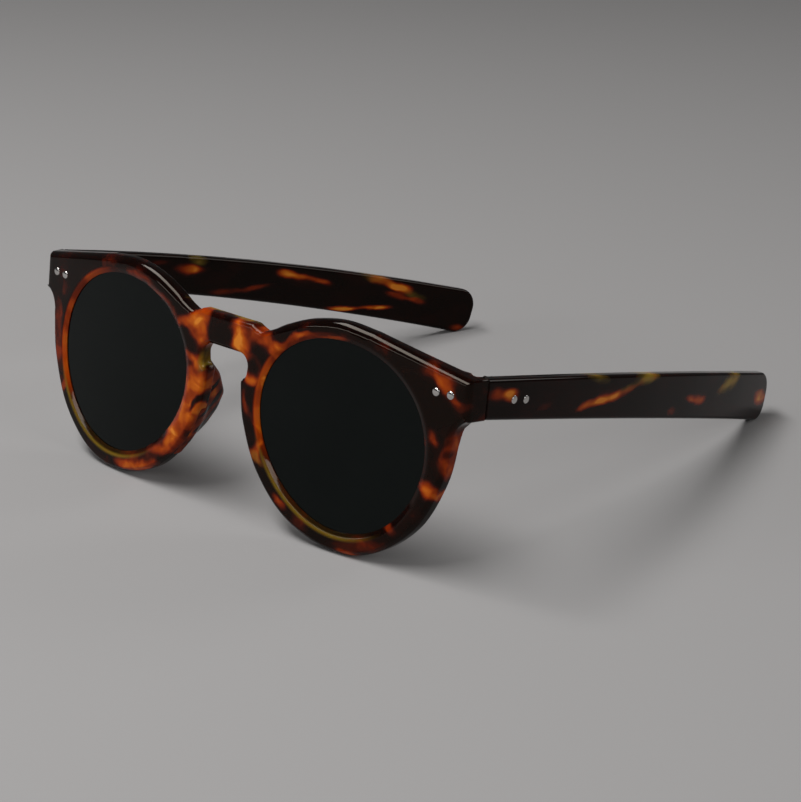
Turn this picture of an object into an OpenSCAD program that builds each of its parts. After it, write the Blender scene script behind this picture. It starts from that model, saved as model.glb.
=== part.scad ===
// Round sunglasses: a thick acetate front with a keyhole bridge, dark lenses held in grooves,
// built-up nose pads, straight paddle temples, and riveted hinges with five barrels each.
// Sizes are in millimetres.
//
// Each piece is drawn in the front's own upright frame: X runs across the face, Y runs back from
// the front face, and Z runs up from the lowest point of the rims. The pair is then leant back
// until the rims and the temple tips stand on the ground. The left side is the wearer's left, +X.

/* [Lenses] */
// Mean diameter of each lens opening
lens_d = 45.4; // [44:0.1:47]
// How far the opening is stretched along its long axis, at each end
lens_oval = 0.8; // [0:0.1:1.2]
// Height of the three soft corners of the opening
lens_lobe = 0.4; // [0:0.1:0.6]
// Slope of the long axis, rising towards the nose, in degrees
lens_tilt = 21; // [0:1:35]
// Distance from the middle of the bridge to each lens centre
lens_x = 35.7; // [35:0.1:37]
// Thickness of the lenses
lens_thick = 2; // [1.6:0.1:2.2]
// How far a lens lies behind the front face
lens_inset = 0.9; // [0.7:0.1:1.2]
// How far the edge of a lens reaches into its groove
lens_seat = 0.6; // [0.4:0.1:0.9]

/* [Front] */
// Thickness of the rims and the bridge
front_thick = 4; // [3.8:0.1:4.6]
// Radius of the front's curve round the face
front_radius = 400; // [320:10:600]
// Rim width beside the lens, below the endpiece
rim_side = 6.6; // [5.8:0.1:6.8]
// Rim width at the lower outer side
rim_outer = 4.6; // [4:0.1:5]
// Rim width at the bottom
rim_bottom = 5.1; // [4.4:0.1:5.6]
// Rim width beside the nose
rim_nose = 5.4; // [4.8:0.1:5.6]
// Rim width at the neck of the keyhole
rim_neck = 6.7; // [6:0.1:7]
// Rim width above the lens
brow_w = 4.3; // [3.8:0.1:5]

/* [Bridge] */
// Height of the keyhole's flat top above the lens centres
keyhole_rise = 12; // [11.6:0.1:12.6]
// Greatest width of the keyhole
keyhole_w = 14.5; // [13.8:0.1:15.4]
// Radius of the keyhole's top corners
keyhole_r = 2.8; // [2.4:0.1:3.1]
// Height of the keyhole, from its neck to its flat top
keyhole_h = 6.6; // [6.2:0.1:7]
// Height of the bridge above the keyhole
bridge_h = 7.8; // [7:0.1:8.2]
// Width of the raised saddle on top of the bridge
saddle_w = 16; // [13:0.5:17]
// Depth of the notch on each side of the saddle
notch_drop = 1.1; // [0.6:0.1:1.4]
// Distance of each notch from the middle of the bridge
notch_x = 11.6; // [11.2:0.1:12.2]

/* [Endpieces] */
// Distance from the middle of the bridge to the corner of each endpiece
end_x = 68.6; // [67.8:0.1:69.2]
// Height of the hinges above the lens centres
hinge_rise = 15.3; // [14.8:0.1:15.8]
// Depth from the middle of the front face to the joint with the temples
end_depth = 11.55; // [11.3:0.05:12.5]
// How far the hollow under each endpiece drops to the rim
end_hollow = 3.7; // [3.2:0.1:4.2]
// Length of the slope behind each rim, where the front thickens into the endpiece
ramp_len = 2.6; // [2:0.1:3]
// Width of acetate between that slope and the hinge plate's pocket
ramp_land = 0.9; // [0.6:0.1:1.2]
// How far the thick part of an endpiece stands above the tops of the temples
block_rise = 0.25; // [0.15:0.05:0.6]

/* [Temples] */
// Length of a temple, from the joint to the tip
temple_len = 145; // [135:1:150]
// Height of a temple at the joint
temple_h = 9.5; // [8.8:0.1:9.6]
// Height of a temple at the tip
tip_h = 13.3; // [11.6:0.1:14]
// Radius of the tip's corners
tip_r = 5.2; // [3:0.1:5.4]
// Thickness of a temple
temple_thick = 3.5; // [3.4:0.1:4]
// How far the outer faces of the temples stand outside the corners of the front
temple_stand = 0.9; // [0.7:0.1:1.4]
// Angle by which a temple opens outwards at the joint
splay = 0.9; // [0:0.1:2]
// Radius of the inward bow of a temple
bow_r = 565; // [480:5:700]
// Angle by which a temple drops at the joint
drop = 7.3; // [5:0.1:9]
// Radius of the downward curve of a temple
droop_r = 1580; // [1300:10:2400]
// Gap in the joint between an endpiece and a temple
joint_gap = 0.1; // [0.06:0.01:0.16]

/* [Hinges] */
// Radius of the hinge barrels
barrel_r = 1.2; // [1.1:0.05:1.25]
// Height of the five barrels together
hinge_h = 7; // [6.4:0.1:7.2]
// Gap between one barrel and the next
barrel_gap = 0.1; // [0.06:0.01:0.15]
// Gap round the barrels to the acetate and to the other plate
barrel_room = 0.15; // [0.12:0.01:0.2]
// Thickness of the hinge plates
plate_thick = 1.1; // [0.9:0.05:1.15]
// Length of the plate on the front, from the hinge pin to its end
front_plate_len = 7.5; // [7:0.1:8]
// Length of the plate on the temple, from the joint to its end
temple_plate_len = 17; // [16.5:0.1:20]
// Height of the plate on the temple
temple_plate_h = 5.6; // [5:0.1:6]
// Radius of the hinge screw
screw_r = 0.6; // [0.5:0.05:0.65]
// Radius of the screw's head
screw_head_r = 0.9; // [0.8:0.02:0.94]
// Depth of the screw's head
screw_head_h = 0.6; // [0.5:0.05:0.8]
// Radial running gap between the screw and the temple's barrels
running_gap = 0.04; // [0.02:0.01:0.06]

/* [Rivets] */
// Radius of the rivet shanks
rivet_r = 0.55; // [0.45:0.05:0.55]
// Radius of the rivet heads
rivet_head_r = 1; // [0.8:0.05:1.1]
// Depth of the rivet heads
rivet_head_h = 0.5; // [0.4:0.05:0.7]
// How far the rivet heads stand proud
rivet_proud = 0.15; // [0.05:0.05:0.25]
// Distance of the inner front rivet from the corner of the endpiece
rivet_inset_inner = 8.2; // [7.8:0.1:8.6]
// Distance of the outer front rivet from the corner of the endpiece
rivet_inset_outer = 4.55; // [4.4:0.05:5]
// Height of the front rivets above the middle of the hinge
front_rivet_rise = 0.7; // [0:0.1:0.9]
// Distance of the first temple rivet behind the joint
temple_rivet_front = 9.6; // [8:0.1:10]
// Distance of the second temple rivet behind the joint
temple_rivet_rear = 14; // [13:0.1:15]

/* [Core wires] */
// Radius of the core wire in each temple
wire_r = 0.65; // [0.5:0.05:0.7]
// Length of the core wires
wire_len = 126; // [110:1:128]
// Depth of the core wire's axis behind the outer face of the temple
wire_depth = 1.6; // [1.55:0.05:1.7]
// Distance of the core wire below the middle of the temple at the joint
wire_below = 1.9; // [1.8:0.1:2.2]
// Radial gap round the core wire
wire_gap = 0.05; // [0.03:0.01:0.08]

/* [Nose pads] */
// How far the nose pads rise behind the rims
pad_rise = 6.3; // [4.5:0.1:7]
// Radius of the pads' rounded edges
pad_r = 1.6; // [1.2:0.1:1.9]

/* [Hidden] */
$fn = 48;

acetate = "#4a1c08";
dark_acetate = "#1c120d";
glass = "#20242480";
metal = "#c9c9c4";

// Direction of the lens opening's long axis, seen from the lens centre
lens_axis = 180 - lens_tilt;
// Angle between neighbouring points of a lens outline
lens_step = 4;

// Radius of a lens opening in the direction a, from the lens centre
function lens_r(a) = lens_d / 2 + lens_oval * cos(2 * (a - lens_axis)) + lens_lobe * cos(3 * (a - lens_axis));

lens_z = lens_r(-90) + rim_bottom;
keyhole_top = lens_z + keyhole_rise;
bridge_top = keyhole_top + bridge_h;
hinge_z = lens_z + hinge_rise;
end_top = hinge_z + temple_h / 2;
temple_x = end_x + temple_stand;
inner_x = temple_x - temple_thick;
front_rivet_inner = end_x - rivet_inset_inner;
front_rivet_outer = end_x - rivet_inset_outer;
pin_x = inner_x + joint_gap;
pocket_y = end_depth - joint_gap / 2 - plate_thick - joint_gap;
end_bottom = hinge_z - temple_h / 2;
end_back = end_depth - joint_gap / 2;

// Depth of the front face at the distance x from the middle
function front_y(x) = front_radius - sqrt(pow(front_radius, 2) - x * x);

// Point at the rim width w outside the lens opening, in the direction a
function rim_point(a, w) = [lens_x + (lens_r(a) + w) * cos(a), lens_z + (lens_r(a) + w) * sin(a)];

// Points on a circle from the angle a0 to the angle a1
function arc(x, y, r, a0, a1, n) = [for (i = [0:n]) let (a = a0 + (a1 - a0) * i / n) [x + r * cos(a), y + r * sin(a)]];

// Smooth curve through the points p, from the second to the one before the last
function curve(p, n) = [for (i = [1:len(p) - 3], j = [0:n - 1]) curve_point(p[i - 1], p[i], p[i + 1], p[i + 2], j / n)];
function curve_point(a, b, c, d, t) =
    (2 * b + (c - a) * t + (2 * a - 5 * b + 4 * c - d) * t * t + (3 * b - a - 3 * c + d) * t * t * t) / 2;

// Height of the middle line of a temple at the distance y behind the joint
function temple_mid(y) = hinge_z - tan(drop) * y - y * y / (2 * droop_r);
function temple_half(y) = (temple_h + (tip_h - temple_h) * y / temple_len) / 2;
temple_slope = atan(tan(drop) + temple_len / droop_r);
tip_half = tip_h / 2 * cos(temple_slope);

// Centres of the rounded corners of a temple's tip, below (-1) and above (1) its middle line
function tip_corner(side) =
    [end_depth + temple_len, temple_mid(temple_len)]
    - tip_r * [cos(temple_slope), -sin(temple_slope)]
    + side * (tip_half - tip_r) * [sin(temple_slope), cos(temple_slope)];

// The pair leans back until the bottom of a tip is level with the back edge of the rims
rim_foot = front_y(lens_x) + front_thick;
foot_to_tip = tip_corner(-1) - [rim_foot, 0];
lean = atan2(foot_to_tip.y, foot_to_tip.x) - asin(tip_r / norm(foot_to_tip));
lift = rim_foot * sin(lean);

// Place of a point of the upright front, with the depth y and the height z, once it leans back
function leant(p) = [p.x * cos(lean) + p.y * sin(lean), p.y * cos(lean) - p.x * sin(lean)];
nearest_y = min([for (p = front_half()) leant([front_y(p.x), p.y]).x]);
farthest_y = max([for (p = temple_outline()) leant(p).x]);

// Right half of the front's outline, clockwise from the top of the bridge
function front_half() = concat(
    [[0, bridge_top]],
    curve([[saddle_w / 2 - 3, bridge_top],
           [saddle_w / 2, bridge_top],
           [(saddle_w / 2 + notch_x) / 2 - 0.4, bridge_top - notch_drop / 2],
           [notch_x - 0.9, bridge_top - notch_drop + 0.06],
           [notch_x, bridge_top - notch_drop],
           rim_point(137, brow_w + 1.4),
           rim_point(129, brow_w + 0.75),
           rim_point(114, brow_w + 0.15),
           rim_point(95, brow_w),
           rim_point(77, brow_w),
           rim_point(66, brow_w + 0.55),
           [end_x, end_top]], 8),
    [[end_x, end_top], [temple_x + 1, end_top], [temple_x + 1, end_bottom]],
    curve([[end_x + 1, end_bottom],
           [end_x - 0.4, end_bottom],
           [end_x - 1.3, end_bottom - end_hollow * 0.1],
           [end_x - 2.6, end_bottom - end_hollow * 0.45],
           [end_x - 3.4, end_bottom - end_hollow],
           rim_point(9, rim_side),
           rim_point(-10, (rim_side + 3 * rim_outer) / 4),
           rim_point(-37, rim_outer),
           rim_point(-65, (rim_outer + rim_bottom) / 2),
           rim_point(-90, rim_bottom),
           rim_point(-120, rim_nose),
           rim_point(-148, rim_nose),
           rim_point(-172, (3 * rim_nose + rim_neck) / 4),
           rim_point(-188, rim_neck),
           [keyhole_w / 2 - 1.35, keyhole_top - keyhole_h + 0.5],
           [keyhole_w / 2 - 0.6, keyhole_top - keyhole_h + 1.2],
           [keyhole_w / 2 - 0.15, keyhole_top - keyhole_h + 2.3],
           [keyhole_w / 2, keyhole_top - keyhole_r]], 8),
    arc(keyhole_w / 2 - keyhole_r, keyhole_top - keyhole_r, keyhole_r, -10, 90, 10),
    [[0, keyhole_top]]);

// The shape and its mirror image on the other side of the middle
function both_sides(p) = concat(p, [for (i = [len(p) - 2:-1:1]) [-p[i].x, p[i].y]]);

function lens_outline(grow) = [for (a = [0:lens_step:359]) rim_point(a, grow)];

// Side view of a temple, as depth and height, from the top of the joint round the tip
function temple_outline() = concat(
    [for (y = [0:temple_len / 20:temple_len - tip_r]) [end_depth + joint_gap / 2 + y, temple_mid(y) + temple_half(y)]],
    arc(tip_corner(1).x, tip_corner(1).y, tip_r, 90 - temple_slope, -temple_slope, 10),
    arc(tip_corner(-1).x, tip_corner(-1).y, tip_r, -temple_slope, -90 - temple_slope, 10),
    [for (y = [temple_len - 2 * tip_r:-temple_len / 20:0]) [end_depth + joint_gap / 2 + y, temple_mid(y) - temple_half(y)]],
    [[end_depth + joint_gap / 2, temple_mid(0) - temple_half(0)]]);

// Stands the upright pieces on the ground, with the middle of the pair over the origin
module standing() {
    translate([0, -(nearest_y + farthest_y) / 2, lift]) rotate([-lean, 0, 0]) children();
}

// The wearer's left side as drawn, or its mirror image on the right
module on_side(side) {
    standing() mirror([side == "left" ? 0 : 1, 0, 0]) children();
}

// A front view pushed back from the depth y0 to the depth y1
module pushed_back(y0, y1) {
    translate([0, y1, 0]) rotate([90, 0, 0]) linear_extrude(y1 - y0) children();
}

// A side view pushed across from x0 to x1, its first axis pointing back
module pushed_across(x0, x1) {
    translate([x0, 0, 0]) rotate([90, 0, 90]) linear_extrude(x1 - x0) children();
}

// A curved sheet that follows the front, between two depths behind its face
module front_sheet(d0, d1) {
    translate([0, front_radius, -10]) difference() {
        cylinder(r = front_radius - d0, h = 90, $fn = 360);
        translate([0, 0, -1]) cylinder(r = front_radius - d1, h = 92, $fn = 360);
    }
}

// A cylinder along the hinge pin between two heights from the hinge's middle
module round_pin(r, z0, z1) {
    translate([pin_x, end_depth, hinge_z + z0]) cylinder(r = r, h = z1 - z0);
}

barrel_h = (hinge_h - 4 * barrel_gap) / 5;
function barrel_z(k) = -hinge_h / 2 + k * (barrel_h + barrel_gap);

// Barrels of one plate: 0, 2 and 4 belong to the front, 1 and 3 to the temple
module barrels(which, r, grow) {
    for (k = which) round_pin(r, barrel_z(k) - grow, barrel_z(k) + barrel_h + grow);
}

// A rivet along +Y: a domed head at the origin, its shank running back for the length l
module rivet(l) {
    color(metal) rotate([-90, 0, 0]) rotate_extrude($fn = 72) polygon(concat(
        [[0, 0.1 - rivet_proud]],
        arc(rivet_head_r * 0.72, rivet_head_r * 0.28 - rivet_proud, rivet_head_r * 0.28, -90, 0, 6),
        [[rivet_head_r, rivet_head_h - rivet_proud], [rivet_r, rivet_head_h - rivet_proud], [rivet_r, l], [0, l]]));
}

// The hole that a rivet fills
module rivet_hole(l) {
    rotate([-90, 0, 0]) {
        translate([0, 0, -1]) cylinder(r = rivet_head_r, h = 1 + rivet_head_h - rivet_proud);
        cylinder(r = rivet_r, h = l);
    }
}

// Puts a rivet at the front face, behind which its shank reaches the back of the hinge plate
module at_front_rivet(x) {
    translate([x, front_y(x), hinge_z + front_rivet_rise]) children();
}
function front_rivet_len(x) = end_depth - joint_gap - front_y(x);

// Puts a rivet at the outer face of the temple
module at_temple_rivet(y) {
    translate([temple_face(y), end_depth + y, temple_mid(y)]) rotate([0, 0, 90]) children();
}
function temple_rivet_len(y) = temple_face(y) - inner_x - joint_gap / 2;

// Distance of a temple's outer face from the middle, at the distance y behind the joint
function temple_face(y) = bow_centre().x + sqrt(pow(bow_r, 2) - pow(y - bow_centre().y, 2));
function bow_centre() = [temple_x - bow_r * cos(splay), bow_r * sin(splay)];

// A curved sheet that follows a temple, between two depths behind its outer face
module temple_sheet(d0, d1) {
    translate([bow_centre().x, end_depth + bow_centre().y, -40]) difference() {
        cylinder(r = bow_r - d0, h = 140, $fn = 480);
        translate([0, 0, -1]) cylinder(r = bow_r - d1, h = 142, $fn = 480);
    }
}

// The thick part of an endpiece, which reaches back to the joint
module end_block() {
    ramp_x = pin_x - front_plate_len - ramp_land - ramp_len;
    wide_x = temple_x + 2;
    foot_z = end_bottom - end_hollow * 0.6;
    translate([0, 0, foot_z]) linear_extrude(end_top + block_rise - foot_z)
        polygon([[ramp_x, front_y(ramp_x) + 1],
                 [ramp_x, front_y(ramp_x) + front_thick - 0.5],
                 [ramp_x + ramp_len, end_back],
                 [wide_x, end_back],
                 [wide_x, front_y(wide_x) + 1]]);
}

// Top view that both endpieces lie within, its sides widening from the face to the joint
module end_taper() {
    flare = (temple_x - end_x) / (end_depth - front_y(end_x));
    reach = 3;
    linear_extrude(90)
        polygon(both_sides([[0, end_depth + reach],
                            [temple_x + flare * reach, end_depth + reach],
                            [end_x - flare * (front_y(end_x) + reach), -reach],
                            [0, -reach]]));
}

// The pocket for the hinge plate and the relief round the barrels
module end_pocket() {
    translate([pin_x - front_plate_len, pocket_y, hinge_z - hinge_h / 2])
        cube([front_plate_len, 5, hinge_h]);
    round_pin(barrel_r + barrel_room, -12, 12);
}

module front_frame() {
    color(acetate) standing() difference() {
        intersection() {
            pushed_back(-1, 14) polygon(both_sides(front_half()));
            union() {
                front_sheet(0, front_thick);
                for (m = [0, 1]) mirror([m, 0, 0]) end_block();
            }
            end_taper();
        }
        for (m = [0, 1]) mirror([m, 0, 0]) {
            pushed_back(-1, 14) polygon(lens_outline(0));
            intersection() {
                pushed_back(-1, 14) polygon(lens_outline(lens_seat + 0.05));
                front_sheet(lens_inset - 0.05, lens_inset + lens_thick + 0.05);
            }
            end_pocket();
            for (x = [front_rivet_inner, front_rivet_outer])
                at_front_rivet(x) rivet_hole(front_rivet_len(x));
        }
    }
}

module lens(side) {
    color(glass) on_side(side) intersection() {
        pushed_back(-1, 14) polygon(lens_outline(lens_seat));
        front_sheet(lens_inset, lens_inset + lens_thick);
    }
}

// Ribs of a nose pad from top to bottom: the direction from the lens centre, and the share of
// the pad's full rise that the rib has
pad_ribs = [[166, 0.12], [175, 0.68], [184, 0.94], [192, 0.84], [201, 0.65], [211, 0.4], [222, 0.1]];

module pad_rib(a, share) {
    inner = rim_point(a, pad_r + 0.2);
    outer = rim_point(a, rim_nose - pad_r);
    crest = (inner * 2 + outer) / 3 - [0.9 * share, 0];
    back = front_y(lens_x - lens_d / 2) + front_thick;
    for (p = [inner, outer]) translate([p.x, back - pad_r, p.y]) sphere(pad_r, $fn = 20);
    translate([crest.x, back + pad_rise * share - pad_r, crest.y]) sphere(pad_r, $fn = 20);
}

module nose_pad(side) {
    color(acetate) on_side(side) intersection() {
        for (i = [0:len(pad_ribs) - 2]) hull() {
            pad_rib(pad_ribs[i][0], pad_ribs[i][1]);
            pad_rib(pad_ribs[i + 1][0], pad_ribs[i + 1][1]);
        }
        translate([0, front_radius, 0]) cylinder(r = front_radius - front_thick, h = 80, $fn = 360);
    }
}

// Side view of the temple's hinge plate, larger by the margin grow
function plate_outline(grow) =
    let (y0 = end_depth + joint_gap / 2, y1 = end_depth + temple_plate_len - temple_plate_h / 2,
         half = temple_plate_h / 2 + grow)
    concat([[y0, hinge_z - hinge_h / 2 - grow], [y0, hinge_z + hinge_h / 2 + grow],
            [y0 + 3, hinge_z + hinge_h / 2 + grow - 0.4]],
           arc(y1, temple_mid(y1 - end_depth), half, 90 - drop, -90 - drop, 12),
           [[y0 + 3, hinge_z - hinge_h / 2 - grow - 0.4]]);

// Path of the core wire as a tube of the radius r, its mouth at the joint
module core_channel(r, l) {
    c = bow_centre();
    turn = l / bow_r * 180 / PI;
    fall = atan((temple_mid(0) - temple_mid(wire_len)) / wire_len);
    translate([0, end_depth, hinge_z - wire_below]) rotate([-fall, 0, 0]) translate([c.x, c.y, 0])
        rotate([0, 0, -asin(c.y / bow_r)])
            rotate_extrude(angle = turn, $fn = 720) translate([bow_r - wire_depth, 0]) circle(r, $fn = 24);
}

module temple(side) {
    color(dark_acetate) on_side(side) difference() {
        intersection() {
            pushed_across(20, 90) polygon(temple_outline());
            temple_sheet(0, temple_thick);
        }
        pushed_across(inner_x - 8, inner_x + joint_gap / 2 + plate_thick) polygon(plate_outline(0));
        round_pin(barrel_r + barrel_room, -12, 12);
        for (y = [temple_rivet_front, temple_rivet_rear])
            at_temple_rivet(y) rivet_hole(temple_rivet_len(y));
        core_channel(wire_r + wire_gap, wire_len + 0.5);
    }
}

module core_wire(side) {
    color(metal) on_side(side) core_channel(wire_r, wire_len);
}

module front_hinge_plate(side) {
    color(metal) on_side(side) difference() {
        union() {
            translate([pin_x - front_plate_len, pocket_y, hinge_z - hinge_h / 2])
                cube([front_plate_len, plate_thick, hinge_h]);
            barrels([0, 2, 4], barrel_r, 0);
        }
        barrels([1, 3], barrel_r + barrel_room, barrel_gap);
        round_pin(screw_r, -12, 12);
        round_pin(screw_head_r, hinge_h / 2 - screw_head_h, hinge_h);
        for (x = [front_rivet_inner, front_rivet_outer])
            at_front_rivet(x) rotate([-90, 0, 0]) cylinder(r = rivet_r, h = 20);
    }
}

module temple_hinge_plate(side) {
    color(metal) on_side(side) difference() {
        union() {
            pushed_across(inner_x + joint_gap / 2, inner_x + joint_gap / 2 + plate_thick)
                polygon(plate_outline(0));
            barrels([1, 3], barrel_r, 0);
        }
        barrels([0, 2, 4], barrel_r + barrel_room, barrel_gap);
        round_pin(screw_r + running_gap, -12, 12);
        for (y = [temple_rivet_front, temple_rivet_rear])
            at_temple_rivet(y) rotate([-90, 0, 0]) cylinder(r = rivet_r, h = 20);
    }
}

// The hinge screw, its slotted head sunk in the top barrel
module hinge_screw(side) {
    top = hinge_h / 2 - 0.05;
    color(metal) on_side(side) difference() {
        union() {
            round_pin(screw_r, -hinge_h / 2, top - screw_head_h / 2);
            round_pin(screw_head_r, hinge_h / 2 - screw_head_h, top);
        }
        translate([pin_x, end_depth, hinge_z + top]) cube([0.25, 4, 0.5], center = true);
    }
}

module front_rivet(side, x) {
    on_side(side) at_front_rivet(x) rivet(front_rivet_len(x));
}

module temple_rivet(side, y) {
    on_side(side) at_temple_rivet(y) rivet(temple_rivet_len(y));
}

front_frame();
for (side = ["left", "right"]) {
    lens(side);
    nose_pad(side);
    temple(side);
    core_wire(side);
    front_hinge_plate(side);
    temple_hinge_plate(side);
    hinge_screw(side);
    front_rivet(side, front_rivet_inner);
    front_rivet(side, front_rivet_outer);
    temple_rivet(side, temple_rivet_front);
    temple_rivet(side, temple_rivet_rear);
}
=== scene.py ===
import math

import bmesh
import bpy
from mathutils import Matrix, Vector


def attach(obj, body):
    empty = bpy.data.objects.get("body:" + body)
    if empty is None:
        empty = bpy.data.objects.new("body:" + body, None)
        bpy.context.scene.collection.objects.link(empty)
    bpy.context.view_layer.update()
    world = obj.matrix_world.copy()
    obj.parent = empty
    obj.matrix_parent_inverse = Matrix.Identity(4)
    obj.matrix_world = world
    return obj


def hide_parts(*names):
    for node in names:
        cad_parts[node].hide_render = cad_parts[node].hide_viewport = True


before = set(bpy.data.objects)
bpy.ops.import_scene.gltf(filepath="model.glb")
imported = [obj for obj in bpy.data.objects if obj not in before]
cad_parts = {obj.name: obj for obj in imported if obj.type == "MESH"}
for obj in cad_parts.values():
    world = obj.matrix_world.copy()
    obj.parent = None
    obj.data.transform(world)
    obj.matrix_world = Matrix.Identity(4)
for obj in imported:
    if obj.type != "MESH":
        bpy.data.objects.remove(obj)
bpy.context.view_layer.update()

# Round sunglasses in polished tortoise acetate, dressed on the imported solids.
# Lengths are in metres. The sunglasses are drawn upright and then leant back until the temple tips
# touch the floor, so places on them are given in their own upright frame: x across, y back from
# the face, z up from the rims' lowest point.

MM = 0.001
SIDES = {"left": 1, "right": -1}

# How the pair leans and stands, as in the part's source
LEAN = math.radians(4.81601)
LIFT = 0.469844 * MM
MIDDLE = 79.5198 * MM

# More values of the part's source: the curve of the face, the lens openings, the heights of the
# hinges and of the rivets on the front, and the joint and middle line of the temples
FACE_RADIUS = 400 * MM
LENS_X = 35.7 * MM
LENS_Z = 27.5619 * MM
LENS_RADIUS = 22.7 * MM
LENS_OVAL = 0.8 * MM
LENS_LOBE = 0.4 * MM
LENS_AXIS = math.radians(159)
HINGE_Z = 42.8619 * MM
RIVET_Z = HINGE_Z + 0.7 * MM
END_DEPTH = 11.55 * MM
JOINT_GAP = 0.1 * MM
DROP = math.tan(math.radians(7.3))
DROOP_RADIUS = 1580 * MM

# The sloped lips round the faces of the lens openings, which only this scene has
LIP_WIDTH = 1.3 * MM
LIP_SLOPE = 2

# Points closer than this are one point
WELD = 0.004 * MM
# An edge that turns less than the first is part of a curve, and from the second on it is a corner
CURVE_TURN = math.radians(18)
CORNER_TURN = math.radians(32)

TO_UPRIGHT = (Matrix.Translation((0, MIDDLE * math.cos(LEAN) + LIFT * math.sin(LEAN),
                                  MIDDLE * math.sin(LEAN) - LIFT * math.cos(LEAN)))
              @ Matrix.Rotation(LEAN, 4, "X"))


def face_depth(x):
    """Depth of the front's curved face at the distance x from the middle."""
    return FACE_RADIUS - math.sqrt(FACE_RADIUS ** 2 - x * x)


def temple_middle(y):
    """Height of a temple's middle line at the distance y behind the joint."""
    return HINGE_Z - DROP * y - y * y / (2 * DROOP_RADIUS)


# ---------------------------------------------------------------- modelling helpers

def deselect_all():
    bpy.ops.object.select_all(action="DESELECT")


def pick(piece):
    """Makes one piece the only one selected."""
    deselect_all()
    piece.select_set(True)
    bpy.context.view_layer.objects.active = piece


def merged_copy(node, name, flat=0.8):
    """A copy of a CAD node's mesh with its loose triangles joined. Faces that differ by less than
    flat, in degrees, become one."""
    piece = bpy.data.objects.new(name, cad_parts[node].data.copy())
    bpy.context.scene.collection.objects.link(piece)
    piece.data.materials.clear()
    pick(piece)
    bpy.ops.mesh.customdata_custom_splitnormals_clear()
    bpy.ops.object.mode_set(mode="EDIT")
    bpy.ops.mesh.select_all(action="SELECT")
    bpy.ops.mesh.remove_doubles(threshold=WELD)
    bpy.ops.mesh.dissolve_limited(angle_limit=math.radians(flat))
    bpy.ops.object.mode_set(mode="OBJECT")
    return piece


def finish_piece(piece, material, body, node):
    """Gives a finished piece its material and its body, in the place of a CAD node."""
    piece.data.materials.clear()
    piece.data.materials.append(material)
    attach(piece, body)
    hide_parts(node)


def apply_modifier(piece, modifier):
    pick(piece)
    bpy.ops.object.modifier_apply(modifier=modifier.name)


def round_over(piece, radius_at, profile=0.5):
    """Rounds the sharp edges over as tumbling and polishing do. radius_at(a, b, turn) gives the
    radius from an edge's ends in the upright frame and the angle that the surface turns there."""
    widest = 1 * MM
    mesh = bmesh.new()
    mesh.from_mesh(piece.data)
    weights = mesh.edges.layers.float.new("bevel_weight_edge")
    for edge in mesh.edges:
        turn = edge.calc_face_angle(0)
        if edge.is_convex and turn > CURVE_TURN:
            a, b = (TO_UPRIGHT @ v.co for v in edge.verts)
            edge[weights] = radius_at(a, b, turn) / widest
    mesh.to_mesh(piece.data)
    mesh.free()
    bevel = piece.modifiers.new("round over", "BEVEL")
    bevel.limit_method = "WEIGHT"
    bevel.width = widest
    bevel.segments = 5
    bevel.profile = profile
    bevel.use_clamp_overlap = False
    bevel.miter_outer = "MITER_ARC"
    apply_modifier(piece, bevel)


def smooth_faces(piece, angle=35):
    """Smooth shading over the curves, with the broad faces kept true."""
    pick(piece)
    bpy.ops.object.shade_smooth_by_angle(angle=math.radians(angle))
    weighted = piece.modifiers.new("true faces", "WEIGHTED_NORMAL")
    weighted.keep_sharp = True
    weighted.weight = 80
    apply_modifier(piece, weighted)


def face_outwards(piece):
    pick(piece)
    bpy.ops.object.mode_set(mode="EDIT")
    bpy.ops.mesh.select_all(action="SELECT")
    bpy.ops.mesh.normals_make_consistent(inside=False)
    bpy.ops.object.mode_set(mode="OBJECT")


def add_cutter(shape, **settings):
    """A plain shape, placed in the upright frame."""
    deselect_all()
    getattr(bpy.ops.mesh, "primitive_" + shape + "_add")(**settings)
    cutter = bpy.context.active_object
    bpy.ops.object.transform_apply(location=True, rotation=True, scale=True)
    cutter.data.transform(TO_UPRIGHT.inverted())
    return cutter


def cut(piece, cutter, operation):
    """Cuts a piece with a cutter, which is then used up."""
    boolean = piece.modifiers.new("cut", "BOOLEAN")
    boolean.operation = operation
    boolean.object = cutter
    boolean.solver = "EXACT"
    apply_modifier(piece, boolean)
    bpy.data.objects.remove(cutter)


# ---------------------------------------------------------------- node helpers

def new_material(name):
    material = bpy.data.materials.new(name)
    material.use_nodes = True
    return material, material.node_tree, material.node_tree.nodes["Principled BSDF"].inputs


def plug(tree, socket, value):
    """Sets a socket to a plain value, or links it to another node's output."""
    if isinstance(value, bpy.types.NodeSocket):
        tree.links.new(value, socket)
    else:
        socket.default_value = value


def plug_all(tree, sockets, values):
    for name, value in values.items():
        plug(tree, sockets[name], value)


def maths(tree, operation, *values, clamp=False):
    node = tree.nodes.new("ShaderNodeMath")
    node.operation = operation
    node.use_clamp = clamp
    for socket, value in zip(node.inputs, values):
        plug(tree, socket, value)
    return node.outputs[0]


def vector_maths(tree, operation, *values):
    node = tree.nodes.new("ShaderNodeVectorMath")
    node.operation = operation
    for socket, value in zip(node.inputs, values):
        plug(tree, socket, value)
    return node.outputs["Value" if operation == "LENGTH" else "Vector"]


def mapped(tree, vector, kind="POINT", place=(0, 0, 0), turn=(0, 0, 0), scale=(1, 1, 1)):
    node = tree.nodes.new("ShaderNodeMapping")
    node.vector_type = kind
    plug_all(tree, node.inputs,
             {"Vector": vector, "Location": place, "Rotation": turn, "Scale": scale})
    return node.outputs[0]


def fade(tree, value, start, end, low, high):
    """Runs smoothly from low to high while the value runs from start to end."""
    node = tree.nodes.new("ShaderNodeMapRange")
    node.interpolation_type = "SMOOTHSTEP"
    plug_all(tree, node.inputs,
             {"Value": value, "From Min": start, "From Max": end, "To Min": low, "To Max": high})
    return node.outputs[0]


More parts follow.
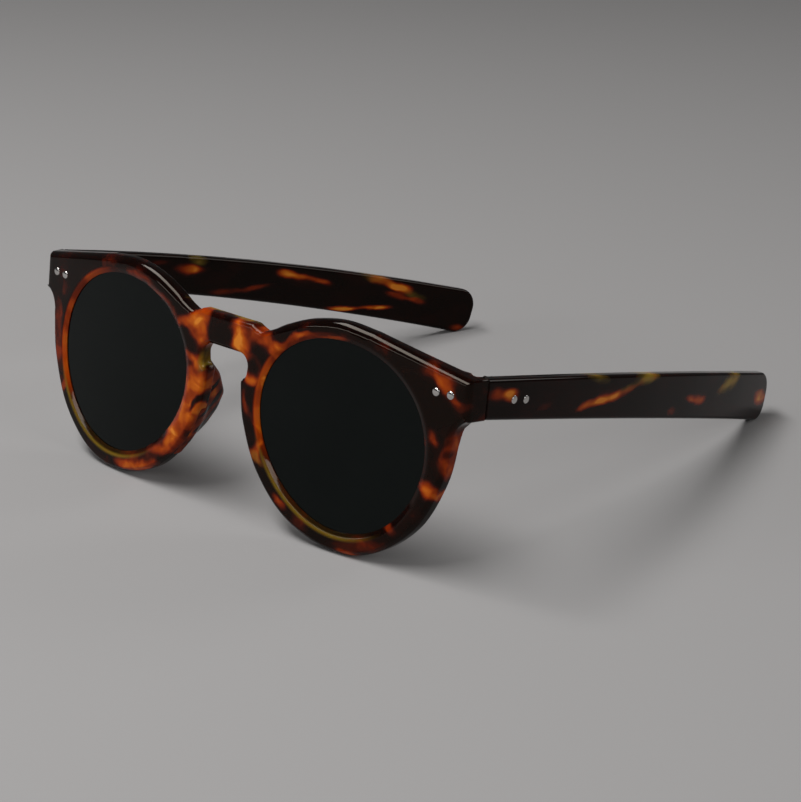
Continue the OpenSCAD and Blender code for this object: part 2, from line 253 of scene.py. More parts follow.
def noise(tree, vector, scale, detail=2, roughness=0.5, colour=False):
    node = tree.nodes.new("ShaderNodeTexNoise")
    plug_all(tree, node.inputs,
             {"Vector": vector, "Scale": scale, "Detail": detail, "Roughness": roughness})
    return node.outputs["Color" if colour else "Fac"]


def ramp(tree, value, stops):
    node = tree.nodes.new("ShaderNodeValToRGB")
    plug(tree, node.inputs[0], value)
    elements = node.color_ramp.elements
    while len(elements) < len(stops):
        elements.new(1)
    for element, (position, colour) in zip(elements, stops):
        element.position = position
        element.color = (*colour, 1)
    return node.outputs[0]


def blend_colours(tree, share, first, second):
    node = tree.nodes.new("ShaderNodeMix")
    node.data_type = "RGBA"
    # a Mix node has a pair of sockets named A and B for each type, and 6 and 7 are the colours
    for socket, value in ((node.inputs["Factor"], share), (node.inputs[6], first),
                          (node.inputs[7], second)):
        plug(tree, socket, value)
    return node.outputs[2]


def bump(tree, height, strength, distance):
    node = tree.nodes.new("ShaderNodeBump")
    plug_all(tree, node.inputs, {"Height": height, "Strength": strength, "Distance": distance})
    return node.outputs[0]


def upright_millimetres(tree):
    """The piece's own places, in millimetres in the upright frame."""
    coordinates = tree.nodes.new("ShaderNodeTexCoord").outputs["Object"]
    return mapped(tree, coordinates, place=TO_UPRIGHT.translation / MM, turn=(LEAN, 0, 0),
                  scale=(1 / MM, 1 / MM, 1 / MM))


# ---------------------------------------------------------------- tortoise acetate

# Light clouds in the dark acetate: points along each one, half its width, how light it is, and
# where it doesn't pass through the whole thickness, the depth of its middle and half its depth.
# On the front the points are x and z, in millimetres.
FRONT_CLOUDS = [
    # nasal side of the right rim, from the brow down to the lowest point
    ([(-9.6, 45.2), (-8, 38.6)], 4.4, 0.62),
    ([(-15.6, 41.8), (-10.6, 44.3), (-7.6, 45.6), (-6, 47.2)], 2.0, 0.66),
    ([(-7.9, 46.4), (-7.2, 42.1), (-6.2, 38.6)], 2.2, 0.5),
    ([(-13, 36.2), (-9.7, 35.2), (-7.1, 34.6)], 1.8, 0.66),
    ([(-10.2, 33), (-9.6, 25), (-12.4, 18), (-17, 11.6)], 3.6, 0.74),
    ([(-13.4, 24.5), (-16.2, 16)], 2.4, 0.5),
    ([(-5.8, 33.2), (-6.5, 26.5), (-9, 19)], 2.4, 0.74),
    ([(-22.6, 7.6), (-17, 11.2), (-12.9, 15.5)], 2.3, 0.6),
    ([(-34.8, 2.9), (-27, 3.7), (-19.3, 5.5)], 1.5, 0.66),
    ([(-24, 6), (-34, 3.4)], 2.8, 0.44),
    # its brow, outer side and foot
    ([(-35.5, 49.9), (-29, 49.2), (-22.3, 47.2), (-16, 42.6)], 1.8, 0.5),
    ([(-62.4, 36.3), (-62.6, 30), (-60.6, 20)], 2.4, 0.5),
    ([(-58, 17.8), (-58.4, 14.4)], 1.5, 0.56),
    # left half of the bridge and nasal side of the left rim
    ([(4.4, 46), (6.6, 38)], 4.6, 0.64),
    ([(3.4, 46.4), (4.2, 43.4), (4.4, 40.4)], 2.6, 0.74),
    ([(5.0, 40.2), (7.3, 36.6)], 2.4, 0.56),
    ([(7.6, 45.4), (12.5, 44.2), (16.6, 45.3)], 2.0, 0.56),
    ([(11.5, 44), (13.4, 33)], 3.4, 0.5),
    ([(15.2, 42.8), (19.2, 46.1), (26.2, 48.8), (36.4, 49.9)], 1.2, 0.8),
    ([(17.2, 44.2), (14.9, 40.2), (13.2, 34.5), (12.3, 28), (12.4, 22), (14, 18.2)], 1.9, 0.76),
    ([(7.2, 34.6), (12.4, 33.7)], 1.7, 0.76),
    ([(6.9, 31.8), (10.0, 25.2)], 1.7, 0.46),
    ([(10.7, 17.6), (15.1, 15.7)], 1.9, 0.66),
    ([(18.3, 8.4), (22.9, 7.4)], 1.4, 0.72),
    # foot, outer side and endpiece of the left rim
    ([(37, 2.6), (51, 5)], 2.6, 0.42),
    ([(38.5, 0.9), (44.5, 0.7)], 1.2, 0.6),
    ([(50.6, 9.0), (53, 10.1)], 1.6, 0.5),
    ([(59.3, 33.3), (62.5, 31.5)], 1.6, 0.54),
    ([(58.7, 22), (63.5, 19.3)], 2.0, 0.86),
    ([(56, 48.6), (61.4, 46.6), (64.2, 45.4)], 2.2, 0.6),
    ([(63.1, 45.2), (65.2, 42.6), (68.0, 41.0)], 1.8, 0.46),
    ([(66, 36.4), (64.9, 31), (63.9, 24.4)], 1.6, 0.72, 7.4, 3.2),
    ([(-66, 36.4), (-64.9, 31), (-63.9, 24.4)], 1.6, 0.62, 7.4, 3.2),
]
# Dark patches over them
FRONT_DARKS = [
    ([(-14.9, 40.2), (-10.2, 38.2)], 2.4, 0.95),
    ([(-15.2, 33.4), (-12.8, 32.6)], 1.1, 0.7),
    ([(-6.2, 26.2), (-9.4, 22.6)], 0.7, 0.8),
    ([(-2.4, 44.6), (-0.6, 40.4)], 3.2, 0.95),
    ([(9.4, 42.2), (13.4, 40.2), (14.6, 38.6)], 2.0, 0.95),
    ([(9.2, 38.6), (11.2, 36.8)], 1.8, 0.9),
    ([(8.4, 31.4), (10.2, 28.2)], 1.0, 0.8),
    ([(8.6, 24.4), (10.4, 19.6)], 1.6, 0.95),
]
# Painted olive glow, where light comes through or falls on thin edges: the bridge's and brows'
# backs, and the keyhole's right side
FRONT_OLIVE_GLOW = [
    ([(-8.6, 46.6), (0, 47.2), (8.6, 46.6)], 1.6, 0.9, 3.9, 1.6),
    ([(-21, 47.6), (-12, 44.6)], 2.0, 0.9, 4.3, 1.6),
    ([(21, 47.6), (12, 44.6)], 2.0, 0.7, 4.3, 1.6),
    ([(-7.3, 37.4), (-6.6, 33.6)], 1.2, 1.0, 2.8, 3.4),
    ([(11.2, 17.0), (14.8, 15.6)], 1.1, 0.45),
]
# On a temple the points are the distance behind the joint and the height above its middle line
LEFT_TEMPLE_CLOUDS = [
    ([(0.2, 1.2), (6.2, 1.0), (10.6, 0.9)], 2.0, 0.66),
    ([(6.4, 1.2), (8.8, 1.2)], 1.6, 0.8),
    ([(34.3, -2.3), (42.4, -0.9)], 1.1, 0.74),
    ([(39.5, -1.5), (49.5, 0.1)], 1.4, 1.0),
    ([(48.5, -0.1), (53.7, 0.9)], 1.3, 0.9),
    ([(53.7, 0.9), (60.6, 2.9)], 1.2, 0.7),
    ([(60.6, 3.0), (66, 4.4), (71.5, 5.4)], 1.2, 0.5),
    ([(38, 0), (58, 1.2)], 2.6, 0.26),
    ([(88.5, -0.4), (99.5, -0.8)], 1.6, 0.8),
    ([(107, 1.6), (114, 3.8), (121.1, 5.6)], 1.8, 0.4),
    ([(135, 0.2), (144.4, -0.4)], 2.4, 1.0),
    ([(78, -4.0), (83, -3.8)], 1.2, 0.4),
    ([(17, -2.6), (25, -1.2)], 1.4, 0.3),
]
LEFT_TEMPLE_OLIVES = [
    ([(39.3, 5.2), (46.4, 4.6)], 1.2, 0.6),
    ([(53, 1.4), (61, 3.2)], 1.0, 0.4),
    ([(61.1, 4.2), (70.7, 5.4)], 1.5, 0.9),
    ([(109.3, 2.4), (121.1, 6.0)], 2.0, 0.9),
    ([(137, 0.6), (143, 0.2)], 1.4, 0.45),
]
RIGHT_TEMPLE_CLOUDS = [
    ([(37.0, 1.6), (46, 1.8)], 1.9, 0.84),
    ([(40.5, 1.5), (44.5, 1.6)], 1.2, 1.0),
    ([(48.5, -4.1), (58.9, -2.9), (70.5, -0.7)], 1.1, 0.5),
    ([(73, 3.3), (79.1, 3.3)], 1.4, 0.84),
    ([(77, 3.3), (85, 2.8), (92.4, 2.0)], 1.1, 0.66),
    ([(91, -4.9), (103, -3.7), (115, -2.3)], 0.9, 0.98),
    ([(105.4, 5.0), (114.7, 4.6), (121.6, 3.6)], 1.6, 0.84),
    ([(112, 4.4), (119, 3.8)], 1.1, 1.0),
    ([(112.4, 1.8), (120, 1.2), (127, 0.5)], 1.2, 0.6),
    ([(76, 2.6), (90, 1.8)], 2.4, 0.26),
    ([(137, -5.4), (143, -5.6)], 1.6, 0.56),
    ([(12, -1.5), (20, 0.4)], 1.4, 0.42),
    ([(27, 3.0), (34, 3.4)], 1.1, 0.36),
]
RIGHT_TEMPLE_OLIVES = [
    ([(42, 4.6), (47, 4.4)], 1.2, 0.8),
    ([(104.9, 5.4), (113, 5.0)], 1.3, 0.7),
    ([(119, 3.2), (126, 1.8)], 1.0, 0.3),
]
# On a nose pad the points are y and z, because it is seen from beside the nose
PAD_DARKS = [
    ([(7.2, 28.9), (3.4, 26.6)], 0.55, 1.0),
    ([(8.4, 26.6), (5.4, 23.0), (2.4, 20.6)], 0.7, 1.0),
    ([(9.2, 23.4), (6.2, 19.2), (3.0, 16.2)], 0.75, 1.0),
    ([(7.0, 18.2), (3.6, 13.4)], 0.6, 0.9),
]

DARK_TO_LIGHT = [
    (0.0, (0.0032, 0.0008, 0.0005)),
    (0.2, (0.009, 0.0014, 0.0008)),
    (0.38, (0.048, 0.0044, 0.0010)),
    (0.56, (0.165, 0.015, 0.0014)),
    (0.74, (0.31, 0.042, 0.0022)),
    (0.9, (0.47, 0.102, 0.005)),
    (1.0, (0.64, 0.21, 0.018)),
]
OLIVE = (0.24, 0.15, 0.016, 1)

# Where a cloud passes right through a piece: the depth of its middle and half its depth, in
# millimetres
THROUGH_FRONT = (3, 14)
THROUGH_TEMPLE = (60, 30)
THROUGH_PAD = (0, 40)
# Shares of a cloud's size where its even heart ends and where it has faded out
CLOUD_HEART = 0.25
CLOUD_END = 1.45


def in_front(point, depth):
    return Vector((point[0], depth, point[1]))


def in_pad(point, depth):
    return Vector((depth, *point))


def in_temple(side):
    """Finds the places on the left temple (1) or the right one (-1)."""
    def place(point, depth):
        y = point[0] * MM
        return Vector((side * depth, (y + END_DEPTH + JOINT_GAP) / MM,
                       temple_middle(y) / MM + point[1]))
    return place


def through(clouds, span):
    """Clouds that pass right through a piece."""
    return [(*cloud[:3], *span) for cloud in clouds]


def cloud_field(tree, places, clouds, where, across):
    """How light the clouds make each place, laid over each other like veils. across is the axis
    that goes through the piece's thickness."""
    left_dark = None
    for points, width, level, *span in clouds:
        depth, half_depth = span or THROUGH_FRONT
        for start, end in zip(points, points[1:]):
            a, b = where(start, depth), where(end, depth)
            half_length = (b - a).length / 2 + width * 0.5
            if across == "y":
                turn = (0, -math.atan2(b.z - a.z, b.x - a.x), 0)
                size = (half_length, half_depth, width)
            else:
                turn = (math.atan2(b.z - a.z, b.y - a.y), 0, 0)
                size = (half_depth, half_length, width)
            local = mapped(tree, places, "TEXTURE", (a + b) / 2, turn, size)
            veil = fade(tree, vector_maths(tree, "LENGTH", local), CLOUD_END, CLOUD_HEART,
                        1, 1 - level)
            left_dark = veil if left_dark is None else maths(tree, "MULTIPLY", left_dark, veil)
    return maths(tree, "SUBTRACT", 1.0, left_dark)


def stirred(tree, places, scale, reach, stretch):
    """Moves the places about, as the colours run when the acetate block is pressed."""
    drift = noise(tree, mapped(tree, places, scale=stretch), scale, detail=1.5, colour=True)
    drift = vector_maths(tree, "SUBTRACT", drift, (0.5, 0.5, 0.5))
    return vector_maths(tree, "ADD", places,
                        vector_maths(tree, "MULTIPLY", drift, (reach, reach, reach)))


def painted_lip_glow(tree, places):
    """How light and how olive the sloped lips of the lens openings are painted. They are thin,
    and their lighter colour is painted glow, most on their right-hand sides and less at the
    bottom, with a painted olive crest at the foot."""
    parts = tree.nodes.new("ShaderNodeSeparateXYZ")
    plug(tree, parts.inputs[0], places)
    x = parts.outputs["X"]
    across_lens = maths(tree, "SUBTRACT", maths(tree, "ABSOLUTE", x), LENS_X / MM)
    up_lens = maths(tree, "SUBTRACT", parts.outputs["Z"], LENS_Z / MM)
    angle = maths(tree, "ARCTAN2", up_lens, across_lens)
    from_lens = maths(tree, "SQRT", maths(tree, "ADD", maths(tree, "POWER", across_lens, 2.0),
                                          maths(tree, "POWER", up_lens, 2.0)))
    for waves, reach in ((2, LENS_OVAL), (3, LENS_LOBE)):
        turn = maths(tree, "MULTIPLY_ADD", angle, float(waves), -waves * LENS_AXIS)
        wave = maths(tree, "MULTIPLY", maths(tree, "COSINE", turn), reach / MM)
        from_lens = maths(tree, "SUBTRACT", from_lens, wave)
    from_edge = maths(tree, "SUBTRACT", from_lens, LENS_RADIUS / MM)
    outwards = maths(tree, "MULTIPLY", across_lens, maths(tree, "SIGN", x))
    # Painted glow: lighter towards the opening's edge, stronger on one side and weaker at the
    # bottom
    rim = fade(tree, from_edge, 2.1, 1.0, 0, 1)
    lip = maths(tree, "MULTIPLY", rim, fade(tree, outwards, 8, -19, 0.1, 0.8))
    lip = maths(tree, "MULTIPLY", lip, fade(tree, up_lens, -18, -6, 0.4, 1))
    lip = maths(tree, "MULTIPLY", lip, fade(tree, noise(tree, places, 0.1), 0.36, 0.62, 0.6, 1))
    # Painted olive glow along the crest, on the lower part of each lip
    foot = maths(tree, "MULTIPLY", fade(tree, up_lens, -4, -15, 0, 1),
                 fade(tree, outwards, 15, 0, 0, 0.75))
    crest = maths(tree, "MULTIPLY", rim, fade(tree, from_edge, 0.6, 1.4, 0.05, 1))
    return lip, maths(tree, "MULTIPLY", crest, foot)


def tortoise(name, clouds, darks, olives, where, across, stretch=(1, 1, 1), lighter=0.0, hazy=0.4,
             run=4.5, gloss=0.16, lips=False):
    """Polished tortoise acetate: amber and olive clouds that fade through red into black-brown.
    stretch draws the pattern out, lighter and hazy lift it evenly and in patches, run is how far
    the colours have run, gloss is the strength of the polish, and lips paints a glow on the lens
    openings."""
    material, tree, shader = new_material(name)
    places = upright_millimetres(tree)
    moved = stirred(tree, places, 0.15, run, stretch)
    moved = stirred(tree, moved, 0.45, 1.1, stretch)

    grain = noise(tree, mapped(tree, moved, scale=stretch), 0.3, detail=1.5)
    patches = noise(tree, mapped(tree, places, scale=stretch), 0.12, detail=3)
    light = maths(tree, "ADD", fade(tree, patches, 0.44, 0.7, 0, hazy), lighter)
    if clouds:
        light = maths(tree, "MAXIMUM", light, cloud_field(tree, moved, clouds, where, across))
    light = maths(tree, "MULTIPLY", light, fade(tree, grain, 0.3, 0.68, 0.8, 1.15))
    if darks:
        dark = cloud_field(tree, moved, darks, where, across)
        light = maths(tree, "MULTIPLY", light, maths(tree, "SUBTRACT", 1.0, dark))
    if lips:
        # painted glow and painted olive crest on the lips of the lens openings
        lip, painted_lip_olive = painted_lip_glow(tree, places)
        light = maths(tree, "MAXIMUM", light, lip)
    colour = ramp(tree, light, DARK_TO_LIGHT)
    # on the front the olive clouds are painted glow at thin edges
    if olives:
        olive = cloud_field(tree, moved, olives, where, across)
        olive = maths(tree, "MULTIPLY", olive, fade(tree, grain, 0.3, 0.65, 0.3, 1.1), clamp=True)
        if lips:
            olive = maths(tree, "MAXIMUM", olive, painted_lip_olive)
        colour = blend_colours(tree, olive, colour, OLIVE)
    polish = noise(tree, places, 0.5, detail=3)
    plug_all(tree, shader, {
        "Base Color": colour,
        "Roughness": fade(tree, polish, 0.3, 0.7, 0.04, 0.08),
        "Normal": bump(tree, noise(tree, places, 0.12, detail=1), 0.3, 0.06 * MM),
        "IOR": 1.48,
        "Specular IOR Level": gloss,
        "Specular Tint": (1.0, 0.86, 0.72, 1),
        "Subsurface Weight": 0.5,
        "Subsurface Radius": (1.0, 0.25, 0.06),
        "Subsurface Scale": 3 * MM,
    })
    return material


front_acetate = tortoise("tortoise acetate of the front", FRONT_CLOUDS, FRONT_DARKS, FRONT_OLIVE_GLOW,
                         in_front, "y", lips=True)
temple_acetate = {}
for side, clouds, olives in (("left", LEFT_TEMPLE_CLOUDS, LEFT_TEMPLE_OLIVES),
                             ("right", RIGHT_TEMPLE_CLOUDS, RIGHT_TEMPLE_OLIVES)):
    temple_acetate[side] = tortoise(
        "tortoise acetate of the " + side + " temple", through(clouds, THROUGH_TEMPLE), [],
        through(olives, THROUGH_TEMPLE), in_temple(SIDES[side]), "x", stretch=(1, 0.4, 1),
        hazy=0.16, run=2.4, gloss=0.1)
pad_acetate = tortoise("tortoise acetate of the nose pads", [], through(PAD_DARKS, THROUGH_PAD),
                       [], in_pad, "x", lighter=0.5, run=1.0)


# ---------------------------------------------------------------- front

# Parts of both sides of the front whose edges aren't rounded over: from and to, across, back and
# up, in millimetres
RIVET_HOLES = ((58.6, 65.8), (-1, 20), (RIVET_Z / MM - 1.6, RIVET_Z / MM + 1.6))
HINGE_POCKET = ((58.5, 67.6), (10.2, 20), (39.1, 46.5))
ENDPIECE_FOOT = ((64, 80), (7.5, 20), (33.9, 40.5))

# The radii of the others, in millimetres: round the openings and the outline, at the joints with
# the temples, and on the rest of the endpieces
OPENING_FACE, OPENING_BACK = 0.5, 0.75
OUTLINE_FACE, BROW_EXTRA, OUTLINE_BACK = 1.2, 0.6, 0.8
JOINT_EDGE, ENDPIECE_EDGE = 0.3, 0.45

# Where they are: the depth of the flattened back, how far the edges of an opening are from the
# lens's middle, and the distances from the bridge where the outer sides and endpieces begin
FLAT_BACK = 4.03 * MM
OPENING_REACH = 25.6 * MM
OUTER_X = 61.5 * MM
ENDPIECE_X = 56 * MM
# Below an endpiece, the rounding of the back's outline runs out between these heights
RUN_OUT_END, RUN_OUT_START = 34.1 * MM, 30.1 * MM


def within(p, box):
    return all(low * MM < value < high * MM
               for value, (low, high) in zip((abs(p.x), p.y, p.z), box))


def opening_radius(angle):
    """Distance of a lens opening's edge from the lens's middle. Angle 0 points to the endpiece."""
    from_axis = angle - LENS_AXIS
    return LENS_RADIUS + LENS_OVAL * math.cos(2 * from_axis) + LENS_LOBE * math.cos(3 * from_axis)


def lip_cutter(side):
    """Fits one lens opening from the front and widens towards its front end."""
    inner_end, outer_end = 0.7 * MM, -1.6 * MM
    deselect_all()
    bpy.ops.mesh.primitive_circle_add(vertices=90, radius=1, fill_type="NGON")
    cutter = bpy.context.active_object
    bpy.ops.object.mode_set(mode="EDIT")
    bpy.ops.mesh.select_all(action="SELECT")
    bpy.ops.mesh.extrude_region_move(TRANSFORM_OT_translate={"value": (0, 0, 1)})
    bpy.ops.object.mode_set(mode="OBJECT")
    for vertex in cutter.data.vertices:
        depth = inner_end if vertex.co.z > 0.5 else outer_end
        angle = math.atan2(vertex.co.y, vertex.co.x)
        reach = opening_radius(angle) + LIP_WIDTH - LIP_SLOPE * depth
        x = SIDES[side] * (LENS_X + reach * math.cos(angle))
        vertex.co = Vector((x, face_depth(x) + depth, LENS_Z + reach * math.sin(angle)))
    cutter.data.transform(TO_UPRIGHT.inverted())
    face_outwards(cutter)
    return cutter


def foot_cutter(side):
    """Takes the lower back corner off an endpiece's thick part, where it runs out into the rim."""
    slope = math.radians(47)
    along = Vector((0, math.sin(slope), math.cos(slope)))
    off = Vector((0, math.cos(slope), -math.sin(slope)))
    foot = Vector((SIDES[side] * 63.5, 9.5, 35.9)) * MM
    width, thick, length = 12, 4, 3.9
    middle = foot + (along * (length / 2) + off * (thick / 2)) * MM
    return add_cutter("cube", size=1, location=middle, rotation=(-slope, 0, 0),
                      scale=(width * MM, thick * MM, length * MM))


def bend(piece, way):
    """Bends the flattened front to the curve of its face (1), or flattens it (-1)."""
    to_piece = TO_UPRIGHT.inverted()
    for vertex in piece.data.vertices:
        place = TO_UPRIGHT @ vertex.co
        place.y += way * face_depth(place.x)
        vertex.co = to_piece @ place


def join_flats(piece, heights):
    """Makes the flats whole again, with level cuts so that none of them has a hole in it."""
    to_piece = TO_UPRIGHT.inverted()
    pick(piece)
    bpy.ops.object.mode_set(mode="EDIT")
    for height in heights:
        bpy.ops.mesh.select_all(action="SELECT")
        bpy.ops.mesh.bisect(plane_co=to_piece @ Vector((0, 0, height)),
                            plane_no=to_piece.to_3x3() @ Vector((0, 0, 1)))
        bpy.ops.mesh.mark_seam()
    bpy.ops.mesh.select_all(action="SELECT")
    bpy.ops.mesh.dissolve_limited(angle_limit=math.radians(0.5), delimit={"SEAM"})
    bpy.ops.object.mode_set(mode="OBJECT")


def slice_across(piece, cuts, step):
    """Upright cuts all along the flattened front, so many on each side, so that it bends evenly."""
    pick(piece)
    bpy.ops.object.mode_set(mode="EDIT")
    for number in range(-cuts, cuts + 1):
        bpy.ops.mesh.select_all(action="SELECT")
        bpy.ops.mesh.bisect(plane_co=(number * step, 0, 0), plane_no=(1, 0, 0))
    bpy.ops.object.mode_set(mode="OBJECT")


def brow_share(p):
    """1 along the tops of the brows, 0 below them, beside the nose and on the endpieces."""
    above = (p.z - 37 * MM) / (5 * MM)
    from_nose = (abs(p.x) - 13 * MM) / (4 * MM)
    from_endpiece = (58 * MM - abs(p.x)) / (5 * MM)
    return max(0.0, min(1.0, above, from_nose, from_endpiece))


def front_rounding(a, b, turn):
    """How far each edge of the flattened front is rounded over."""
    ends = [p + Vector((0, face_depth(p.x), 0)) for p in (a, b)]
    middle = (a + b) / 2
    if any(within(p, HINGE_POCKET) for p in ends) or all(within(p, RIVET_HOLES) for p in ends):
        return 0
    on_face = all(abs(p.y) < 0.03 * MM for p in (a, b))
    on_back = all(abs(p.y - FLAT_BACK) < 0.08 * MM for p in (a, b))
    outside = all(abs(p.x) > OUTER_X for p in ends)
    if all(math.hypot(abs(p.x) - LENS_X, p.z - LENS_Z) < OPENING_REACH and abs(p.x) < OUTER_X
           for p in ends):
        if on_face:
            return OPENING_FACE * MM
        return OPENING_BACK * MM if on_back else 0
    if turn < CORNER_TURN or all(within(p, ENDPIECE_FOOT) for p in ends):
        return 0
    if on_face:
        return (OUTLINE_FACE + BROW_EXTRA * brow_share(middle)) * MM
    if on_back:
        if outside and middle.z < HINGE_Z:
            share = (RUN_OUT_END - middle.z) / (RUN_OUT_END - RUN_OUT_START)
            return OUTLINE_BACK * MM * max(0.0, min(1.0, share))
        return OUTLINE_BACK * MM
    if all(p.y > END_DEPTH - 0.2 * MM for p in ends):
        return JOINT_EDGE * MM
    return ENDPIECE_EDGE * MM if all(abs(p.x) > ENDPIECE_X for p in ends) else 0


front = merged_copy("front_frame", "tortoise_front", flat=0.5)
for side in SIDES:
    cut(front, lip_cutter(side), "DIFFERENCE")
    cut(front, foot_cutter(side), "DIFFERENCE")
bend(front, -1)
join_flats(front, (LENS_Z, RIVET_Z))
round_over(front, front_rounding, profile=0.38)
slice_across(front, 22, 3 * MM)
bend(front, 1)
smooth_faces(front)
finish_piece(front, front_acetate, "front", "front_frame")


# ---------------------------------------------------------------- temples

def temple_rounding(a, b, turn):
    """How far each edge of a temple is rounded over: the outer edges of its joint, and the edges
    along it and round its tip."""
    if turn < CORNER_TURN:
        return 0
    behind = [p.y - END_DEPTH - JOINT_GAP for p in (a, b)]
    above = [p.z - temple_middle(y) for p, y in zip((a, b), behind)]
    if all(y < 0.4 * MM for y in behind):
        at_outer_face = all(abs(p.x) > 65 * MM for p in (a, b))
        return 0.35 * MM if at_outer_face else 0
    along_or_at_tip = all(abs(h) > 4.3 * MM or y > 120 * MM for y, h in zip(behind, above))
    return 1.0 * MM if along_or_at_tip else 0


for side in SIDES:
    temple = merged_copy(side + "_temple", "tortoise_" + side + "_temple")
    round_over(temple, temple_rounding)
    smooth_faces(temple)
    finish_piece(temple, temple_acetate[side], side + "_temple", side + "_temple")


# ---------------------------------------------------------------- nose pads

def nasal_wall():
    """The strip of the left rim's nasal side that a pad is blended into."""
    wall = merged_copy("front_frame", "nasal_wall")
    strip = add_cutter("cube", size=1, location=(14 * MM, 3.1 * MM, 21 * MM),
                       scale=(13 * MM, 3.4 * MM, 23.6 * MM))
    cut(wall, strip, "INTERSECT")
    opening = add_cutter("cylinder", vertices=96, radius=LENS_RADIUS + 2 * MM, depth=40 * MM,
                         location=(LENS_X, 3 * MM, LENS_Z), rotation=(math.radians(90), 0, 0))
    cut(wall, opening, "DIFFERENCE")
    return wall


def filed_pad():
    """The left nose pad, filed smooth all over and run into the nasal side of the rim."""
    piece = merged_copy("left_nose_pad", "left_filed_pad")
    wall = nasal_wall()
    pick(piece)
    wall.select_set(True)
    bpy.ops.object.join()
    remesh = piece.modifiers.new("filed", "REMESH")
    remesh.mode = "VOXEL"
    remesh.voxel_size = 0.25 * MM
    apply_modifier(piece, remesh)
    soften = piece.modifiers.new("softened", "SMOOTH")
    soften.factor = 0.6
    soften.iterations = 26
    apply_modifier(piece, soften)
    swell = piece.modifiers.new("full", "DISPLACE")
    swell.strength = 0.12 * MM
    swell.mid_level = 0
    apply_modifier(piece, swell)
    pick(piece)
    bpy.ops.object.shade_smooth()
    return piece


def mirrored_pad(pad):
    piece = bpy.data.objects.new("right_filed_pad", pad.data.copy())
    bpy.context.scene.collection.objects.link(piece)
    piece.data.transform(Matrix.Scale(-1, 4, (1, 0, 0)))
    face_outwards(piece)
    return piece


left_pad = filed_pad()
right_pad = mirrored_pad(left_pad)
finish_piece(left_pad, pad_acetate, "front", "left_nose_pad")
finish_piece(right_pad, pad_acetate, "front", "right_nose_pad")


# ---------------------------------------------------------------- lenses

def make_lens_glass():
    """Smooth glass, tinted almost black."""
    material, tree, shader = new_material("dark green-grey lens")
    places = upright_millimetres(tree)
    tints = [(0.3, (0.0012, 0.0024, 0.0021)), (0.7, (0.0020, 0.0034, 0.0030))]
    plug_all(tree, shader, {
        "Base Color": ramp(tree, noise(tree, places, 0.04, detail=1), tints),
        "Roughness": fade(tree, noise(tree, places, 0.3, detail=4), 0.35, 0.7, 0.02, 0.05),
        "IOR": 1.5,
        "Specular IOR Level": 0.12,
        "Alpha": 0.98,
    })
    return material


lens_glass = make_lens_glass()
for side in SIDES:
    lens = merged_copy(side + "_lens", side + "_dark_lens", flat=0.05)
    smooth_faces(lens, angle=20)
    finish_piece(lens, lens_glass, "front", side + "_lens")


# ---------------------------------------------------------------- metal

def make_polished_metal(name, colour, smoothest, roughest):
    """Barrelled and polished metal with fine hairlines left by handling."""
    material, tree, shader = new_material(name)
    places = upright_millimetres(tree)
    shade = noise(tree, places, 1.4, detail=3)
    darker = tuple(0.82 * c for c in colour)
    grooves = mapped(tree, places, turn=(0.3, 0.2, 0.7), scale=(14, 1.5, 1.5))
    hairs = noise(tree, grooves, 2.0, detail=2)
    plug_all(tree, shader, {
        "Base Color": ramp(tree, shade, [(0.3, darker), (0.7, colour)]),
        "Metallic": 1.0,
        "Roughness": fade(tree, hairs, 0.3, 0.7, smoothest, roughest),
        "Normal": bump(tree, hairs, 0.12, 0.02 * MM),
    })
    return material


def make_brushed_metal(name, colour):
    """Stamped steel, brushed along its length."""
    material, tree, shader = new_material(name)
    places = upright_millimetres(tree)
    brushed = noise(tree, mapped(tree, places, scale=(9, 0.7, 9)), 1.2, detail=3, roughness=0.6)
    darker = tuple(0.7 * c for c in colour)
    plug_all(tree, shader, {
        "Base Color": ramp(tree, brushed, [(0.25, darker), (0.75, colour)]),
        "Metallic": 1.0,
        "Roughness": fade(tree, brushed, 0.3, 0.7, 0.24, 0.42),
        "Normal": bump(tree, brushed, 0.25, 0.03 * MM),
    })
    return material


bright_metal = make_polished_metal("polished rivet metal", (0.62, 0.60, 0.58), 0.05, 0.12)
hinge_metal = make_brushed_metal("brushed hinge steel", (0.66, 0.65, 0.64))


def dress(node, material):
    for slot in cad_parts[node].material_slots:
        slot.material = material


def domed_rivet(node, body, outwards):
    """A rivet whose head is raised to a low dome, by the point that most of its edges meet in."""
    rise, fewest_spokes = 0.34 * MM, 11
    piece = merged_copy(node, "domed_" + node)
    outwards = TO_UPRIGHT.to_3x3().inverted() @ Vector(outwards)
    spokes = [0] * len(piece.data.vertices)
    for edge in piece.data.edges:
        for index in edge.vertices:
            spokes[index] += 1
    hubs = [v for v in piece.data.vertices if spokes[v.index] >= fewest_spokes]
    hub = max(hubs, key=lambda v: v.co.dot(outwards))
    hub.co += outwards * rise
    pick(piece)
    bpy.ops.object.shade_smooth_by_angle(angle=math.radians(50))
    finish_piece(piece, bright_metal, body, node)


for side in SIDES:
    for rivet in ("front_rivet_inner", "front_rivet_outer"):
        domed_rivet(side + "_" + rivet, "front", (0, -1, 0))
    for rivet in ("temple_rivet_front", "temple_rivet_rear"):
        domed_rivet(side + "_" + rivet, side + "_temple", (SIDES[side], 0, 0))
    dress(side + "_hinge_screw", bright_metal)
    for fitting in ("front_hinge_plate", "temple_hinge_plate", "core_wire"):
        dress(side + "_" + fitting, hinge_metal)


# ---------------------------------------------------------------- floor, light and camera

def add_floor():
    deselect_all()
    bpy.ops.mesh.primitive_plane_add(size=6, location=(0, 0, 0))
    floor = bpy.context.active_object
    floor.name = "floor"
    material, tree, shader = new_material("pale floor")
    plug_all(tree, shader, {"Base Color": (0.32, 0.311, 0.308, 1), "Roughness": 0.9})
    floor.data.materials.append(material)


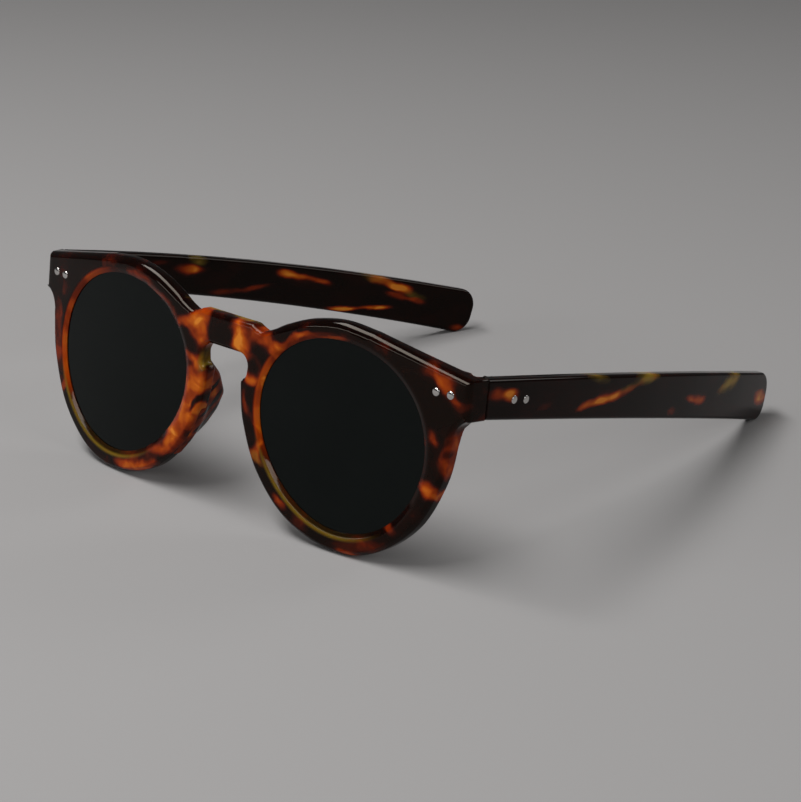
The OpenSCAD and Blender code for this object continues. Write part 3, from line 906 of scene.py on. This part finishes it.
def add_light(name, place, aim, size, energy):
    lamp = bpy.data.lights.new(name, "AREA")
    lamp.shape = "RECTANGLE"
    lamp.size, lamp.size_y = size
    lamp.energy = energy
    holder = bpy.data.objects.new(name, lamp)
    bpy.context.scene.collection.objects.link(holder)
    holder.location = place
    holder.rotation_euler = (Vector(aim) - Vector(place)).to_track_quat("-Z", "Y").to_euler()


def add_camera():
    """The camera model that was fitted to the photo. Its focal length and shifts are in pixels."""
    picture_height, sensor = 802, 36
    focal, shift_x, shift_y = 2410.834, 7.529, -1.994
    azimuth, elevation, roll = (math.radians(a) for a in (40.467, 19.206, 2.238))
    aim = Vector((55.262, -MIDDLE / MM, 42.483)) * MM
    distance = 523.076

    back = Vector((math.sin(azimuth) * math.cos(elevation),
                   -math.cos(azimuth) * math.cos(elevation), math.sin(elevation)))
    level = Vector((math.cos(azimuth), math.sin(azimuth), 0))
    upright = back.cross(level)
    right = math.cos(roll) * level + math.sin(roll) * upright
    up = math.cos(roll) * upright - math.sin(roll) * level
    data = bpy.data.cameras.new("camera")
    data.sensor_width = sensor
    data.lens = focal / picture_height * sensor
    data.shift_x, data.shift_y = shift_x / picture_height, shift_y / picture_height
    data.clip_start = 10 * MM
    camera = bpy.data.objects.new("camera", data)
    bpy.context.scene.collection.objects.link(camera)
    camera.matrix_world = Matrix((right, up, back)).transposed().to_4x4()
    camera.location = aim + back * distance * MM
    bpy.context.scene.camera = camera


def add_room():
    """Faint even light from all round."""
    world = bpy.data.worlds.new("room")
    world.use_nodes = True
    background = world.node_tree.nodes["Background"].inputs
    plug_all(world.node_tree, background, {"Color": (0.8, 0.8, 0.8, 1), "Strength": 0.1})
    bpy.context.scene.world = world


add_floor()
add_light("overhead_softbox", (-0.22, -0.36, 0.86), (0, -0.05, 0.02), (0.95, 0.26), 9)
add_light("front_strip", (-0.3, -1.0, 0.33), (0, -0.07, 0.03), (0.9, 0.14), 3)
add_light("side_softbox", (0.95, -0.1, 0.5), (0, 0, 0.02), (0.4, 0.4), 1.8)
add_light("back_softbox", (0.45, 0.9, 0.55), (0, 0, 0.02), (0.5, 0.4), 1.6)
add_camera()
add_room()
bpy.context.scene.view_settings.view_transform = "Standard"
